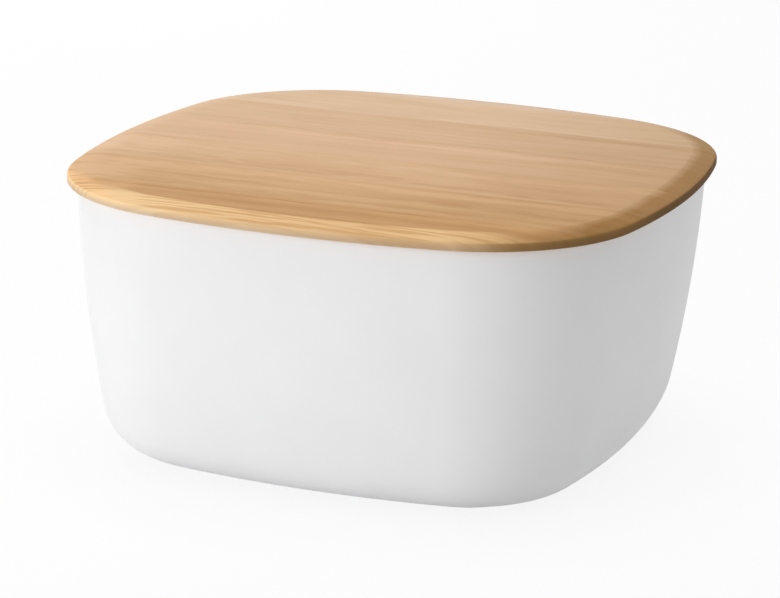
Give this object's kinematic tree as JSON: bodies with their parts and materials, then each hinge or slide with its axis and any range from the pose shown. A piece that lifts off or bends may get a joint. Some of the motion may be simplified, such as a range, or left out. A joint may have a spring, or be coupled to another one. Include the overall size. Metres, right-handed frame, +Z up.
{
  "type": "bread box",
  "caption": "Deep square bread box with bowed sides and rounded corners, a smooth white tub on a foot ring under a flat wooden lid that lifts off.",
  "frame": {"origin": "middle of the footprint, on the surface the box stands on", "axes": "+X to the right along the lid's grain, +Y to the back, +Z up"},
  "size_m": [0.345, 0.345, 0.1664],
  "materials": {
    "tub_white": "satin moulded melamine",
    "stave_wood": "pale wood, sanded and lightly oiled",
    "seal_soft": "matte silicone"
  },
  "bodies": {
    "tub": {"tub": "tub_white"},
    "lid": {"lid_stave_1": "stave_wood", "lid_stave_2": "stave_wood", "lid_stave_3": "stave_wood", "lid_stave_4": "stave_wood", "lid_stave_5": "stave_wood", "lid_stave_6": "stave_wood", "lid_stave_7": "stave_wood", "lid_seal": "seal_soft"}
  },
  "joints": [
    {"name": "lid_lift", "type": "slide", "parent": "tub", "child": "lid", "axis": [0, 0, 1], "range_m": [0, 0.2]}
  ]
}
